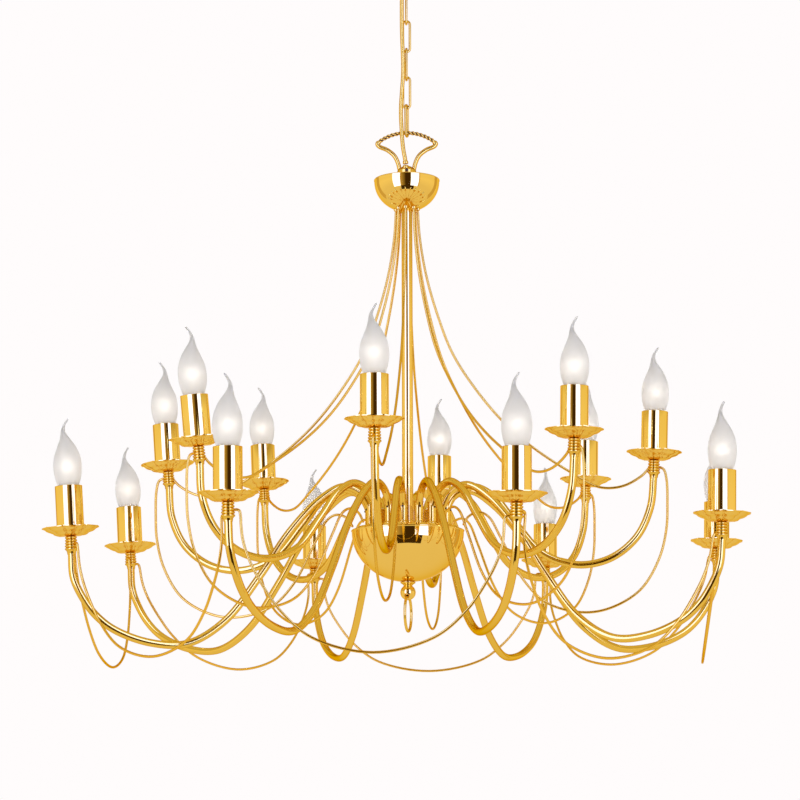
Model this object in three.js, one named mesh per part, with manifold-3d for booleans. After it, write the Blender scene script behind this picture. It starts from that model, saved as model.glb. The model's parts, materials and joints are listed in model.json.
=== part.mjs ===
// A ceiling chandelier in two tiers of eight candle lights, hung on a chain.
// Millimetres, +Z up. The origin is the middle of the ceiling rose's flat top,
// which bears on the ceiling, so every height below is negative. -Y is the front.
import * as THREE from 'three';
import { mergeVertices } from 'three/addons/utils/BufferGeometryUtils.js';
import Module from 'manifold-3d';

const wasm = await Module();
wasm.setup();

// ---- driving dimensions -------------------------------------------------

const GAP = 0.3;                    // left between pieces that touch
const LIGHTS_PER_TIER = 8;
const TIER_STEP = 360 / LIGHTS_PER_TIER;

// Each tier: lights' circle radius, height of the saucers' undersides, first light's angle.
// The arms are bent by hand, so a light stands off its even place: `turns` is by how many
// degrees about the stem, `reaches` and `lifts` by how many millimetres out and up, and
// `leans` by how many degrees it tips outwards.
// `tips` is where each bulb's bent tip points, in degrees about +Z from +X.
const UPPER = {
  name: 'upper', radius: 323, base: -711, start: -6.9,
  turns: [0, 0, -0.1, 1.2, -1.2, 0.5, -0.4, 0.1],
  reaches: [-1.6, 0, -3.6, -4.1, 0.6, 1.3, -4.4, 1.4],
  lifts: [2.7, -0.9, 2.1, -1.1, -4.5, 2.6, -0.4, -1.6],
  leans: [1.7, 1.7, 2.2, 1.7, 1.7, 4.3, 4.2, 6.6],
  tips: [0, -20, 15, 150, 15, 185, 200, 170],
};
const LOWER = {
  name: 'lower', radius: 434, base: -807, start: 17,
  turns: [-0.7, -0.7, -0.3, 0.5, 1.4, 0.2, -0.3, 0],
  reaches: [1, -0.9, 0.7, -0.5, 0.8, -0.8, 3.3, 0.7],
  lifts: [-1.8, -0.8, 0.3, -0.6, 1.3, 4.7, -7.3, 4],
  leans: [1.7, 1.7, 1.7, 1.7, 1.7, 4, 3.9, 1.7],
  tips: [20, 40, 160, 100, 10, -15, 15, 190],
};

const TUBE_R = 4.8;                 // arm tube
const WIRE_R = 1.65;                // decorative wires
// The festoons: each one's lowest height, how far inwards it hangs there, and their shape,
// as [distance from the collar's axis, share of the drop].
const SWAG_LOWS = [-976, -968, -956, -957, -959, -968, -970, -974];
const SWAG_INWARDS = [30, 24, 28, 12, 30, 15, 12, 12];
const SWAG_SHAPE = [
  [12.2, 0.005], [14, 0.05], [14.5, 0.11], [16.5, 0.21], [23, 0.34], [37, 0.51],
  [58, 0.7], [95, 0.895],
];
// A festoon starts and ends this far below the saucers' undersides.
const SWAG_START = 9;
const SWAG_END = 15;
const COLLAR_R = 8;
const COLLAR_H = 17.5;
const COLLAR_TAPER = 5;
const FOOT_COLLAR_R = 7;            // at the arm's foot, on the bowl
const FOOT_COLLAR_H = 4;

const SAUCER_R = 35.5;
const SAUCER_DEPTH = 10.4;
const SAUCER_WALL = 0.9;
const SLEEVE_R = 17;
const SLEEVE_TOP = 63;              // above the saucer's underside
const SLEEVE_WALL = 1.6;
const HOLDER_R = 10.2;              // lampholder inside the sleeve
const HOLDER_TOP = 55;
const SOCKET_R = 8.3;
const SOCKET_FLOOR = 6;
const CAP_R = 7.2;                  // bulb's metal cap
const CAP_FOOT = 33;
// The bulb above the sleeve: [height over the sleeve's top, radius, how far its middle lies
// off the axis]. It leans one way at the neck and hooks back at the tip.
const BULB_OUTLINE = [
  [0, 12.4, 0], [9, 15.7, 0], [19, 17.4, 0], [29, 17.4, 0], [38, 15.9, 0], [46, 13, 0],
  [53, 9.8, -0.5], [59, 6.6, -1.6], [65, 3.9, -3], [70, 2.5, -3.6], [75, 1.9, -2.6],
  [80, 1.6, 0], [85, 0, 3.2],
];

const STEM_R = 7.25;
const STEM_TOP = -320;
const STEM_FOOT = -864;
const STEM_HOLE_R = STEM_R + GAP;

const BOWL_R = 72.75;
const BOWL_RIM = -796.5;
const BOWL_BOTTOM = -861.5;
const BOWL_COVER = -791;
const BOWL_LIP = 1.4;
const SHELL_WALL = 1.5;

const CUP_R = 43.25;                // small cup at the top of the stem
const CUP_RIM = -329;
const CUP_BOTTOM = -369;
const CUP_COVER = -320.5;           // crown of its domed cover
const CUP_LIP = 1;

const BALL_R = 10;
const BALL_Z = -875;
const BALL_NECK_R = 6;
const BALL_EYE_Z = -880;            // cross hole that holds the pull ring
const BALL_EYE_R = 3;
const RING_R = 22.8;                // pull ring, to the middle of its wire
const RING_WIRE_R = 1.8;
const RING_TURN = 79.5;              // degrees that the ring's plane turns from the X axis

const LINK_WIRE_R = 1.7;
const LINK_HALF = 4.65;             // half the link's width, to the middle of its wire
const LINK_PITCH = 39;
const LINK_COUNT = 4;
const CHAIN_TOP = -108.6;           // where the first link bears on the hook's eye
const LINK_PLAY = GAP / 2;

const ROSE_R = 58;
const ROSE_H = 50;
const ROSE_MOUTH_R = 24;
const ROSE_WALL = 1.6;
const HOOK_SHANK_R = 2.6;
const HOOK_EYE_H = 36;

const LOOP_BAR_R = 2.65;            // arched bar that hangs on the chain
const LOOP_LEG_R = 2.6;
const LOOP_HALF = 39.5;
const LOOP_RISE = 14.5;
const BOSS_R = 12.6;                // domed block between the loop's legs
const BOSS_TOP = -308;
const BOSS_SHOULDER = -313;
const BOSS_FOOT = -320;

const CABLE_R = 2.7;

// ---- finishes -----------------------------------------------------------

const gold = new THREE.MeshStandardMaterial({ color: 0xdcae4e, metalness: 1, roughness: 0.18 });
const frosted = new THREE.MeshStandardMaterial({ color: 0xfbf3dc, metalness: 0, roughness: 0.5 });
const lead = new THREE.MeshStandardMaterial({ color: 0xd8b468, metalness: 0.2, roughness: 0.4 });

// ---- shape helpers ------------------------------------------------------

const radians = THREE.MathUtils.degToRad;

// A body turned about +Z from a closed outline of [radius, height] points.
function turned(outline, sides) {
  const points = outline.map(([r, z]) => new THREE.Vector2(r, z));
  const body = new THREE.LatheGeometry(points, sides);
  return body.rotateX(Math.PI / 2);
}

// A closed ring outline for a shell that stands clear of the axis.
const ringOutline = (points) => [...points, points[0]];

// Points of an ellipse's quarter from the angle `from` to `to`, in degrees.
function arcPoints(rx, rz, zMiddle, from, to, steps) {
  return Array.from({ length: steps + 1 }, (_, i) => {
    const a = radians(from + ((to - from) * i) / steps);
    return [rx * Math.cos(a), zMiddle + rz * Math.sin(a)];
  });
}

// A solid round bar along a smooth curve through the given points, cut into
// `perPoint` steps from each point to the next.
function bar(points, radius, sides, perPoint = 1) {
  const path = new THREE.CatmullRomCurve3(points.map((p) => new THREE.Vector3(...p)));
  path.getUtoTmapping = (u) => u;
  const steps = perPoint * (points.length - 1);
  const section = new THREE.Shape();
  for (let i = 0; i < sides; i++) {
    const a = (2 * Math.PI * i) / sides;
    const corner = [radius * Math.cos(a), radius * Math.sin(a)];
    if (i === 0) section.moveTo(...corner);
    else section.lineTo(...corner);
  }
  return new THREE.ExtrudeGeometry(section, { steps, extrudePath: path });
}

// The middle line of a chain link, in the XZ plane about the origin.
class LinkLine extends THREE.Curve {
  constructor(half, length) {
    super();
    this.half = half;
    this.reach = length / 2 - half;
    this.bendSteps = 5;
  }

  get steps() {
    return 2 * (this.bendSteps + 1);
  }

  getUtoTmapping(u) {
    return u;
  }

  getPoint(t) {
    const turn = (t % 1) * this.steps;
    const lower = turn >= this.bendSteps + 1;
    const along = lower ? turn - this.bendSteps - 1 : turn;
    const sign = lower ? -1 : 1;
    if (along <= this.bendSteps) {
      const a = (Math.PI * along) / this.bendSteps;
      return new THREE.Vector3(
        sign * this.half * Math.cos(a), 0, sign * (this.reach + this.half * Math.sin(a)));
    }
    const down = along - this.bendSteps;
    return new THREE.Vector3(-sign * this.half, 0, sign * this.reach * (1 - 2 * down));
  }
}

function linkShape(length) {
  const line = new LinkLine(LINK_HALF, length);
  return new THREE.TubeGeometry(line, line.steps, LINK_WIRE_R, 6, true);
}

function toManifold(geometry) {
  const bare = geometry.clone();
  bare.deleteAttribute('normal');
  bare.deleteAttribute('uv');
  const merged = mergeVertices(bare, 1e-4);
  return new wasm.Manifold(new wasm.Mesh({
    numProp: 3,
    vertProperties: new Float32Array(merged.attributes.position.array),
    triVerts: new Uint32Array(merged.index.array),
  }));
}

function toGeometry(solid) {
  const mesh = solid.getMesh();
  const geometry = new THREE.BufferGeometry();
  geometry.setAttribute('position', new THREE.BufferAttribute(mesh.vertProperties, 3));
  geometry.setIndex(new THREE.BufferAttribute(mesh.triVerts, 1));
  geometry.computeVertexNormals();
  return geometry;
}

const joined = (...geometries) =>
  toGeometry(geometries.map(toManifold).reduce((whole, piece) => whole.add(piece)));

function piece(name, geometry, material) {
  const mesh = new THREE.Mesh(geometry, material);
  mesh.name = name;
  return mesh;
}

// ---- ceiling rose, chain, cable -----------------------------------------

function ceilingRose() {
  const inside = ROSE_R - ROSE_WALL;
  const shell = turned([
    [0, -2],
    [inside - 2, -2],
    [inside - 2, -10],
    [inside - 12, -30],
    [ROSE_MOUTH_R + 6, -ROSE_H + 2 + ROSE_WALL],
    [ROSE_MOUTH_R, -ROSE_H + ROSE_WALL],
    [ROSE_MOUTH_R, -ROSE_H],
    [ROSE_MOUTH_R + 6, -ROSE_H + 2],
    [ROSE_R - 12, -30],
    [ROSE_R - 2, -10],
    [ROSE_R, 0],
    [0, 0],
  ], 20);
  const eyeFoot = CHAIN_TOP - LINK_WIRE_R - LINK_PLAY;
  const eye = linkShape(HOOK_EYE_H);
  eye.rotateZ(Math.PI / 2);
  eye.translate(0, 0, eyeFoot + HOOK_EYE_H / 2);
  const shankFoot = eyeFoot + HOOK_EYE_H - 1;
  const shank = turned(
    [[0, shankFoot], [HOOK_SHANK_R, shankFoot], [HOOK_SHANK_R, -1], [0, -1]], 8);
  return joined(shell, eye, shank);
}

const linkLength = LINK_PITCH + 2 * (LINK_WIRE_R + LINK_PLAY);

// Link 1 hangs on the hook; odd links lie in the XZ plane, even ones in YZ.
function chainLink(number) {
  const link = piece(`chain_link_${number}`, linkShape(linkLength), gold);
  link.position.z = CHAIN_TOP - LINK_PITCH * (number - 0.5);
  link.rotation.z = number % 2 ? 0 : Math.PI / 2;
  return link;
}

// The supply cable lies beside the chain, from the boss up into the rose.
const CABLE_ROUTE = [
  [-1.3, -8, -306.6],
  [-2.2, -8.3, -300],
  [-4.6, -9.4, -286],
  [-6, -10, -272],
  [-6.8, -10, -257],
  [-7.5, -9.8, -241],
  [-7.3, -9.6, -226],
  [-6, -9.5, -206],
  [-4.6, -9.5, -186],
  [-4.5, -9.6, -164],
  [-5.4, -9.9, -140],
  [-6, -10.6, -115],
  [-6, -11.5, -90],
  [-6, -12, -65],
  [-6, -12, -40],
  [-6, -12, -15],
];

// ---- hanger loop, top cup, stem, bowl -----------------------------------

// The arched bar bears on the last link's lower end.
const barMiddle = CHAIN_TOP - LINK_PITCH * LINK_COUNT + LINK_PLAY + LOOP_BAR_R;

function hangerLoop() {
  const spread = (LOOP_HALF ** 2 + LOOP_RISE ** 2) / (2 * LOOP_RISE);
  const half = Math.asin(LOOP_HALF / spread);
  const arch = Array.from({ length: 9 }, (_, i) => {
    const a = half * (i / 4 - 1);
    return [spread * Math.sin(a), 0, barMiddle - spread * (1 - Math.cos(a))];
  });
  const legTop = barMiddle - LOOP_RISE;
  const leg = (side) => bar([
    [side * LOOP_HALF, 0, legTop],
    [side * 26, 0, legTop - 7],
    [side * 16.5, 0, legTop - 15],
    [side * 11, 0, legTop - 26],
    [side * 9.2, 0, BOSS_SHOULDER - 1],
  ], LOOP_LEG_R, 6, 2);
  const boss = turned([
    [0, BOSS_FOOT],
    [BOSS_R - 1.6, BOSS_FOOT],
    [BOSS_R, BOSS_FOOT + 1.6],
    [BOSS_R, BOSS_SHOULDER - 1],
    [BOSS_R - 1.6, BOSS_SHOULDER],
    [BOSS_R / 2, BOSS_TOP - 1],
    [0, BOSS_TOP],
  ], 14);
  return joined(bar(arch, LOOP_BAR_R, 8), leg(1), leg(-1), boss);
}

// A shell turned about the stem: a round-bottomed bowl under a low cover.
function coveredBowl({ radius, rim, bottom, cover, lip, edge, sides }) {
  const depth = rim - bottom;
  const openAngle = Math.acos(STEM_HOLE_R / radius);
  const turnDegrees = THREE.MathUtils.radToDeg(openAngle);
  const outer = arcPoints(radius, depth, rim, -turnDegrees, 0, 6);
  const inner = arcPoints(
    radius - SHELL_WALL, depth - SHELL_WALL, rim, 0, -turnDegrees, 6);
  inner[inner.length - 1][0] = STEM_HOLE_R;
  return turned(ringOutline([
    ...outer,
    [radius + lip, rim + 1],
    [radius + lip, rim + 2.6],
    [radius - 1, edge],
    [STEM_HOLE_R, cover],
    [STEM_HOLE_R, cover - SHELL_WALL],
    [radius - 1 - SHELL_WALL, edge - SHELL_WALL],
    ...inner,
  ]), sides);
}

const centreBowl = () => coveredBowl({
  radius: BOWL_R, rim: BOWL_RIM, bottom: BOWL_BOTTOM, cover: BOWL_COVER,
  lip: BOWL_LIP, edge: BOWL_COVER, sides: 24,
});

const topCup = () => coveredBowl({
  radius: CUP_R, rim: CUP_RIM, bottom: CUP_BOTTOM, cover: CUP_COVER,
  lip: CUP_LIP, edge: CUP_RIM + 3.2, sides: 18,
});

const stem = () => turned([
  [0, STEM_FOOT],
  [STEM_R, STEM_FOOT],
  [STEM_R, STEM_TOP - GAP],
  [0, STEM_TOP - GAP],
], 12);

// ---- finial -------------------------------------------------------------

function finialBall() {
  const neckTop = STEM_FOOT - GAP;
  const ball = turned([
    ...arcPoints(BALL_R, BALL_R, BALL_Z, -90, 54, 7),
    [BALL_NECK_R, neckTop],
    [0, neckTop],
  ].map(([r, z]) => [Math.max(r, 0), z]), 14);
  const hole = new THREE.CylinderGeometry(BALL_EYE_R, BALL_EYE_R, 3 * BALL_R, 10);
  hole.rotateZ(Math.PI / 2);
  hole.rotateZ(radians(RING_TURN));
  hole.translate(0, 0, BALL_EYE_Z);
  return toGeometry(toManifold(ball).subtract(toManifold(hole)));
}

function pullRing() {
  const ring = new THREE.TorusGeometry(RING_R, RING_WIRE_R, 6, 20);
  ring.rotateX(Math.PI / 2);
  ring.rotateZ(radians(RING_TURN));
  ring.translate(0, 0, BALL_EYE_Z + BALL_EYE_R - RING_WIRE_R - 0.5 - RING_R);
  return ring;
}

// ---- arms ---------------------------------------------------------------

// Moves a shape made about a light's own axis to the end of its arm.
const atLight = (geometry, tier, i) => geometry
  .rotateY(radians(tier.leans[i]))
  .translate(tier.radius + tier.reaches[i], 0, tier.base + tier.lifts[i]);

const collarShape = () => turned([
  [0, -COLLAR_H - COLLAR_TAPER],
  [TUBE_R + 0.4, -COLLAR_H - COLLAR_TAPER],
  [COLLAR_R, -COLLAR_H],
  [COLLAR_R, 0],
  [0, 0],
], 8);

const FOOT_R = 50;                  // circle on which the arms stand
const FOOT_Z = BOWL_COVER + GAP;

const footCollar = () => turned([
  [0, 0],
  [FOOT_COLLAR_R, 0],
  [FOOT_COLLAR_R, FOOT_COLLAR_H],
  [0, FOOT_COLLAR_H],
], 6).translate(FOOT_R, 0, FOOT_Z);

// A tube or wire of arm i. Its points are for an evenly placed light: it is bent to reach
// its own light, and stays where it is at the bowl.
function armPart(points, tier, i, radius, sides) {
  const bent = points.map(([r, z]) => {
    const along = THREE.MathUtils.clamp((r - FOOT_R) / (tier.radius - FOOT_R), 0, 1) ** 2;
    return [r + tier.reaches[i] * along, 0, z + tier.lifts[i] * along];
  });
  return bar(bent, radius, sides);
}

// An arm's tube ends inside its collar, along the light's own axis.
function armTube(points, tier, i) {
  const drop = COLLAR_H + COLLAR_TAPER - 3;
  const end = [tier.radius - drop * Math.sin(radians(tier.leans[i])), tier.base - drop];
  return armPart([...points, end], tier, i, TUBE_R, 6);
}

const upperTube = [
  [FOOT_R, FOOT_Z + 0.5], [FOOT_R, -772], [62, -749], [86, -739], [112, -752],
  [140, -787], [175, -827], [220, -843], [263, -836], [298, -810], [317, -772],
];

const lowerTube = [
  [FOOT_R, FOOT_Z + 0.5], [FOOT_R, -772], [62, -749], [86, -740], [118, -758],
  [158, -801], [197, -859], [240, -914], [287, -942], [334, -940.5], [379, -923.5],
  [403, -904], [420, -880], [430, -857],
];

// Wire from the upper collar's inner side, dipping, then sweeping up to the top cup.
const tieWire = [
  [UPPER.radius - 5, -719], [306, -731], [280, -743.5], [250, -743.5], [213, -723],
  [165, -690], [125, -654], [90, -611], [60, -563], [40, -510], [25, -455],
  [17, -405], [14.5, -367.4],
];

// Wire from the upper collar's outer side, under the arm, and over onto the bowl's rim.
const scrollWire = [
  [UPPER.radius + 5, -719.5], [335, -723], [338.5, -736], [339, -768], [337, -800],
  [327, -838], [302, -877], [262, -899.5], [225, -904], [180, -891], [150, -861], [121, -806],
  [106, -779], [94, -772.5], [80, -777], [72, BOWL_COVER + WIRE_R + GAP],
];

// Wire festoon from the collar of lower arm i to just short of the next arm's collar. It is
// laid out along the chord between the two lights, with `share` its part of the full drop.
function swagWire(i) {
  const next = (i + 1) % LIGHTS_PER_TIER;
  const collarAt = (light, below) => new THREE.Vector3(
    LOWER.radius + LOWER.reaches[light] - 1, 0, LOWER.base + LOWER.lifts[light] - below);
  const from = collarAt(i, SWAG_START);
  const to = collarAt(next, SWAG_END).applyAxisAngle(
    new THREE.Vector3(0, 0, 1), radians(TIER_STEP + LOWER.turns[next] - LOWER.turns[i]));
  const chord = new THREE.Vector3(to.x - from.x, to.y - from.y, 0);
  const length = chord.length();
  chord.normalize();
  const inwards = new THREE.Vector3(-chord.y, chord.x, 0);
  const at = (end, sense, away, share) => end.clone()
    .addScaledVector(chord, sense * away)
    .addScaledVector(inwards, SWAG_INWARDS[i] * share)
    .setZ(end.z + share * (SWAG_LOWS[i] - end.z))
    .toArray();
  return bar([
    at(from, 1, 4, 0),
    ...SWAG_SHAPE.map(([away, share]) => at(from, 1, away, share)),
    at(from, 1, length / 2, 1),
    ...SWAG_SHAPE.map(([away, share]) => at(to, -1, away, share)).reverse(),
    at(to, -1, COLLAR_R + 1, 0),
  ], WIRE_R, 4);
}

// ---- lights -------------------------------------------------------------

const saucerAndSleeve = () => turned([
  [0, GAP],
  [10, GAP],
  [23, 2.8],
  [SAUCER_R, SAUCER_DEPTH],
  [SAUCER_R - 0.5, SAUCER_DEPTH + SAUCER_WALL],
  [23, 2.9 + SAUCER_WALL],
  [SLEEVE_R, 2.6 + SAUCER_WALL],
  [SLEEVE_R, SLEEVE_TOP],
  [SLEEVE_R - SLEEVE_WALL, SLEEVE_TOP],
  [SLEEVE_R - SLEEVE_WALL, SOCKET_FLOOR],
  [HOLDER_R, SOCKET_FLOOR],
  [HOLDER_R, HOLDER_TOP],
  [SOCKET_R, HOLDER_TOP],
  [SOCKET_R, SOCKET_FLOOR - 2],
  [0, SOCKET_FLOOR - 2],
], 8);

function bulbShape() {
  const bulb = turned([
    [0, CAP_FOOT],
    [4, CAP_FOOT],
    [CAP_R, CAP_FOOT + 3],
    [CAP_R, HOLDER_TOP + 1],
    ...BULB_OUTLINE.map(([height, radius]) => [radius, SLEEVE_TOP + height]),
  ], 8);
  const at = bulb.attributes.position;
  for (let i = 0; i < at.count; i++) {
    const height = at.getZ(i) - SLEEVE_TOP;
    const ring = BULB_OUTLINE.find(([ringHeight]) => Math.abs(ringHeight - height) < GAP);
    if (ring) at.setX(i, at.getX(i) + ring[2]);
  }
  return bulb;
}

const upperArm = (i) => joined(
  armTube(upperTube, UPPER, i), footCollar(), atLight(collarShape(), UPPER, i),
  armPart(tieWire, UPPER, i, WIRE_R, 4), armPart(scrollWire, UPPER, i, WIRE_R, 4));

const lowerArm = (i) => joined(
  armTube(lowerTube, LOWER, i), footCollar(), atLight(collarShape(), LOWER, i), swagWire(i));

// A tier: arms, saucers with their sleeves, and bulbs, each set around the stem.
function tierOfLights(tier, armShape) {
  const whole = new THREE.Group();
  const cupShape = saucerAndSleeve();
  const lampShape = bulbShape();
  for (let i = 0; i < LIGHTS_PER_TIER; i++) {
    const number = i + 1;
    const heading = tier.start + TIER_STEP * i + tier.turns[i] - 90;
    const spoke = new THREE.Group();
    spoke.rotation.z = radians(heading);
    const light = new THREE.Group();
    light.position.set(tier.radius + tier.reaches[i], 0, tier.base + tier.lifts[i]);
    light.rotation.y = radians(tier.leans[i]);
    const bulb = piece(`${tier.name}_bulb_${number}`, lampShape, frosted);
    bulb.rotation.z = radians(tier.tips[i] - heading);
    light.add(piece(`${tier.name}_candle_${number}`, cupShape, gold), bulb);
    spoke.add(piece(`${tier.name}_arm_${number}`, armShape(i), gold), light);
    whole.add(spoke);
  }
  return whole;
}

// ---- the whole ----------------------------------------------------------

const chandelier = new THREE.Group();
chandelier.add(piece('ceiling_rose', ceilingRose(), gold));
for (let number = 1; number <= LINK_COUNT; number++) chandelier.add(chainLink(number));
chandelier.add(
  piece('supply_cable', bar(CABLE_ROUTE, CABLE_R, 8, 2), lead),
  piece('hanger_loop', hangerLoop(), gold),
  piece('top_cup', topCup(), gold),
  piece('stem', stem(), gold),
  piece('centre_bowl', centreBowl(), gold),
  piece('finial_ball', finialBall(), gold),
  piece('pull_ring', pullRing(), gold),
  tierOfLights(UPPER, upperArm),
  tierOfLights(LOWER, lowerArm),
);

export default chandelier;
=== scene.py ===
# The looks of a two-tier candle chandelier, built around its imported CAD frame.
import json
import math

import bpy
from mathutils import Matrix, Vector


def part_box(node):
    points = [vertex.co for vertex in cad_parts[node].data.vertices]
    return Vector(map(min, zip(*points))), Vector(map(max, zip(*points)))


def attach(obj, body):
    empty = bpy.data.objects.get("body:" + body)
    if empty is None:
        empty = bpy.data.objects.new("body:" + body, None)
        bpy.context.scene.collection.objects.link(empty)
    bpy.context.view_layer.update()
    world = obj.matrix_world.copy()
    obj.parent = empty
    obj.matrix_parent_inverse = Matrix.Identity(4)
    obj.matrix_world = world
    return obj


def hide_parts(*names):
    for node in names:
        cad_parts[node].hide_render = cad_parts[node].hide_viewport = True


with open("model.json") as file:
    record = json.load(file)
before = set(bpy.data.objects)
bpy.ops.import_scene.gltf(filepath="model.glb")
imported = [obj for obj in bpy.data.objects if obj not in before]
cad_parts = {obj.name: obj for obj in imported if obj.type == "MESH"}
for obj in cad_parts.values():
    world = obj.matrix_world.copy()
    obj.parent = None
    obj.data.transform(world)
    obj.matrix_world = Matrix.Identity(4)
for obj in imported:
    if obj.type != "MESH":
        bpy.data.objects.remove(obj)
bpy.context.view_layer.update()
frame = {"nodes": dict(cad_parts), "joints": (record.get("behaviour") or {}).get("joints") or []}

MM = 0.001
SCENE = bpy.context.scene

# ---- camera and cable, in metres -----------------------------------------------------

CAMERA_PLACE = (0, -3.0337, -1.125)
CAMERA_PITCH = 0.164                # radians up from the horizon
CAMERA_ROLL = 0.003
CAMERA_LENS = 105.7
CAMERA_SENSOR = 36
CAMERA_SHIFT = -0.0093

CABLE_R = 0.0027
CABLE_ROUTE = [
    (-0.0013, -0.008, -0.3066), (-0.0022, -0.0083, -0.3), (-0.0046, -0.0094, -0.286),
    (-0.006, -0.01, -0.272), (-0.0068, -0.01, -0.257), (-0.0075, -0.0098, -0.241),
    (-0.0073, -0.0096, -0.226), (-0.006, -0.0095, -0.206), (-0.0046, -0.0095, -0.186),
    (-0.0045, -0.0096, -0.164), (-0.0054, -0.0099, -0.14), (-0.006, -0.0106, -0.115),
    (-0.006, -0.0115, -0.09), (-0.006, -0.012, -0.065), (-0.006, -0.012, -0.04),
    (-0.006, -0.012, -0.015),
]

# ---- sizes of the pieces, in millimetres ---------------------------------------------

LIGHTS_PER_TIER = 8
EVEN_R = {"upper": 323, "lower": 434}           # circle of lights, were they all even
EVEN_BASE = {"upper": -711, "lower": -807}      # height of the saucers' undersides

TUBE_R = 4.8
WIRE_R = 1.65
FOOT_R = 50                         # circle on which the arms stand
FOOT_Z = -790.7
FERRULE_R = 5.9                     # the ferrules stand on the bowl's cover
FERRULE_TOP = -762
TUBE_GRIP = 3                       # how far a tube goes up into its collar
COLLAR_R = 8
COLLAR_H = 17.5
COLLAR_TAPER = 5

# Each festoon's lowest height, and how far it hangs inwards of its chord.
SWAG_LOWS = [-976, -968, -956, -957, -959, -968, -970, -974]
SWAG_INWARDS = [30, 24, 28, 12, 30, 15, 12, 12]
# How a festoon falls: (distance from its collar, share of the way down).
SWAG_SHAPE = [(12.2, 0.005), (14, 0.05), (14.5, 0.11), (16.5, 0.21), (23, 0.34), (37, 0.51),
              (58, 0.7), (95, 0.895)]
SWAG_START, SWAG_END = 9, 15        # below the saucers' undersides

SAUCER_GAP = 0.3                    # between the collar and the saucer
SAUCER_FOOT_R = 10
SAUCER_R = 35.5
SAUCER_DEPTH = 10.4
SAUCER_WALL = 0.9
PETALS = 8
SLEEVE_R = 17
SLEEVE_TOP = 63                     # above the saucer's underside
SLEEVE_WALL = 0.9
SLEEVE_FOOT = 4.2
HOLDER_R = 10
HOLDER_TOP = 55
SOCKET_R = 8.3
CAP_R = 7.2
CAP_FOOT = 33
# The glass above the sleeve: (height, radius, how far its middle lies off the axis).
BULB_OUTLINE = [
    (0, 12.4, 0), (9, 15.7, 0), (19, 17.4, 0), (29, 17.4, 0), (38, 15.9, 0), (46, 13, 0),
    (53, 9.8, -0.5), (59, 6.6, -1.6), (65, 3.9, -3), (70, 2.5, -3.6), (75, 1.9, -2.6),
    (80, 1.6, 0), (84.2, 1.4, 2.8),
]
GLASS_WALL = 0.8
SOLID_GLASS_R = 2.2                 # the glass is solid where it is no wider than this
TIP_START, TIP_END = 30, 70         # above the sleeve, where the glass grows thick

STEM_R = 7.25
STEM_TOP, STEM_FOOT = -320.3, -864
BOWL_R, BOWL_RIM, BOWL_BOTTOM, BOWL_COVER = 72.75, -796.5, -861.5, -791
CUP_R, CUP_RIM, CUP_BOTTOM, CUP_COVER = 43.25, -329, -369, -320.5
SHELL_WALL = 1.5
LIP_RISE = 1.2                      # half the height of a shell's rolled lip
STEM_GAP = 0.3                      # between the stem and the covers it goes through

BALL_R, BALL_Z = 10, -875
EYE_R, EYE_Z = 3.15, -880           # the ball's cross hole
RING_R, RING_WIRE_R, RING_Z = 22.8, 1.85, -902.1
RING_TURN = math.radians(79.5)

CHAIN_TOP = -108.6
LINK_PITCH, LINK_HALF, LINK_WIRE_R, LINK_LENGTH = 39, 4.65, 1.7, 42.7
LINK_TURNS = [0, 90, 0, 72]         # in degrees: the lowest has turned a little on its bar
ROSE_R, ROSE_H, ROSE_MOUTH_R, ROSE_WALL = 58, 50, 24, 1.6
BAR_Z, LOOP_BAR_R, LOOP_LEG_R, LOOP_HALF, LOOP_RISE = -261.8, 2.65, 2.9, 39.5, 14.5
BOSS_R, BOSS_TOP, BOSS_SHOULDER, BOSS_FOOT = 12.6, -308, -313, -320
GLAND_TOP = -308.6                  # clear of the cable's end when the loop swings
TIE_TOP_R, TIE_TOP = 14.5, -367.4   # where the tie wires enter the cup


# ---- shapes: each is a list of points and a list of faces ----------------------------

def smooth_line(points, steps):
    """Points on the centripetal Catmull-Rom curve through `points`."""
    points = [Vector(p) for p in points]
    ends = [2 * points[0] - points[1], *points, 2 * points[-1] - points[-2]]
    line = []
    for a, b, c, d in zip(ends, ends[1:], ends[2:], ends[3:]):
        ab, bc, cd = (math.sqrt((q - p).length) for p, q in ((a, b), (b, c), (c, d)))
        leave = ((b - a) / ab - (c - a) / (ab + bc) + (c - b) / bc) * bc
        arrive = ((c - b) / bc - (d - b) / (bc + cd) + (d - c) / cd) * bc
        for i in range(steps):
            t = i / steps
            line.append(
                b * (2 * t**3 - 3 * t**2 + 1) + leave * (t**3 - 2 * t**2 + t)
                + c * (3 * t**2 - 2 * t**3) + arrive * (t**3 - t**2))
    return line + [points[-1]]


def tangents(line, closed):
    """The direction of the line at each point."""
    count = len(line)
    found = []
    for i in range(count):
        before = line[i - 1] if i or closed else line[0]
        after = line[(i + 1) % count] if i < count - 1 or closed else line[-1]
        found.append((after - before).normalized())
    return found


def sections(line, closed=False):
    """A pair of directions square to the line at each point, without twist."""
    ways = tangents(line, closed)
    side = ways[0].orthogonal().normalized()
    pairs = []
    for way in ways:
        side = (side - way * side.dot(way)).normalized()
        pairs.append((side, way.cross(side)))
    return pairs


def bar(line, radius, sides=12, closed=False):
    """A round bar along the line. `radius` is one number or one for each point."""
    radii = radius if isinstance(radius, list) else [radius] * len(line)
    points = []
    for at, r, (u, v) in zip(line, radii, sections(line, closed)):
        for k in range(sides):
            a = 2 * math.pi * k / sides
            points.append(at + r * (math.cos(a) * u + math.sin(a) * v))
    faces = []
    rings = len(line)
    for i in range(rings if closed else rings - 1):
        for k in range(sides):
            m = (k + 1) % sides
            j = (i + 1) % rings
            faces.append((i * sides + k, i * sides + m, j * sides + m, j * sides + k))
    if not closed:
        faces.append(tuple(reversed(range(sides))))
        faces.append(tuple(range((rings - 1) * sides, rings * sides)))
    return points, faces


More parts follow.
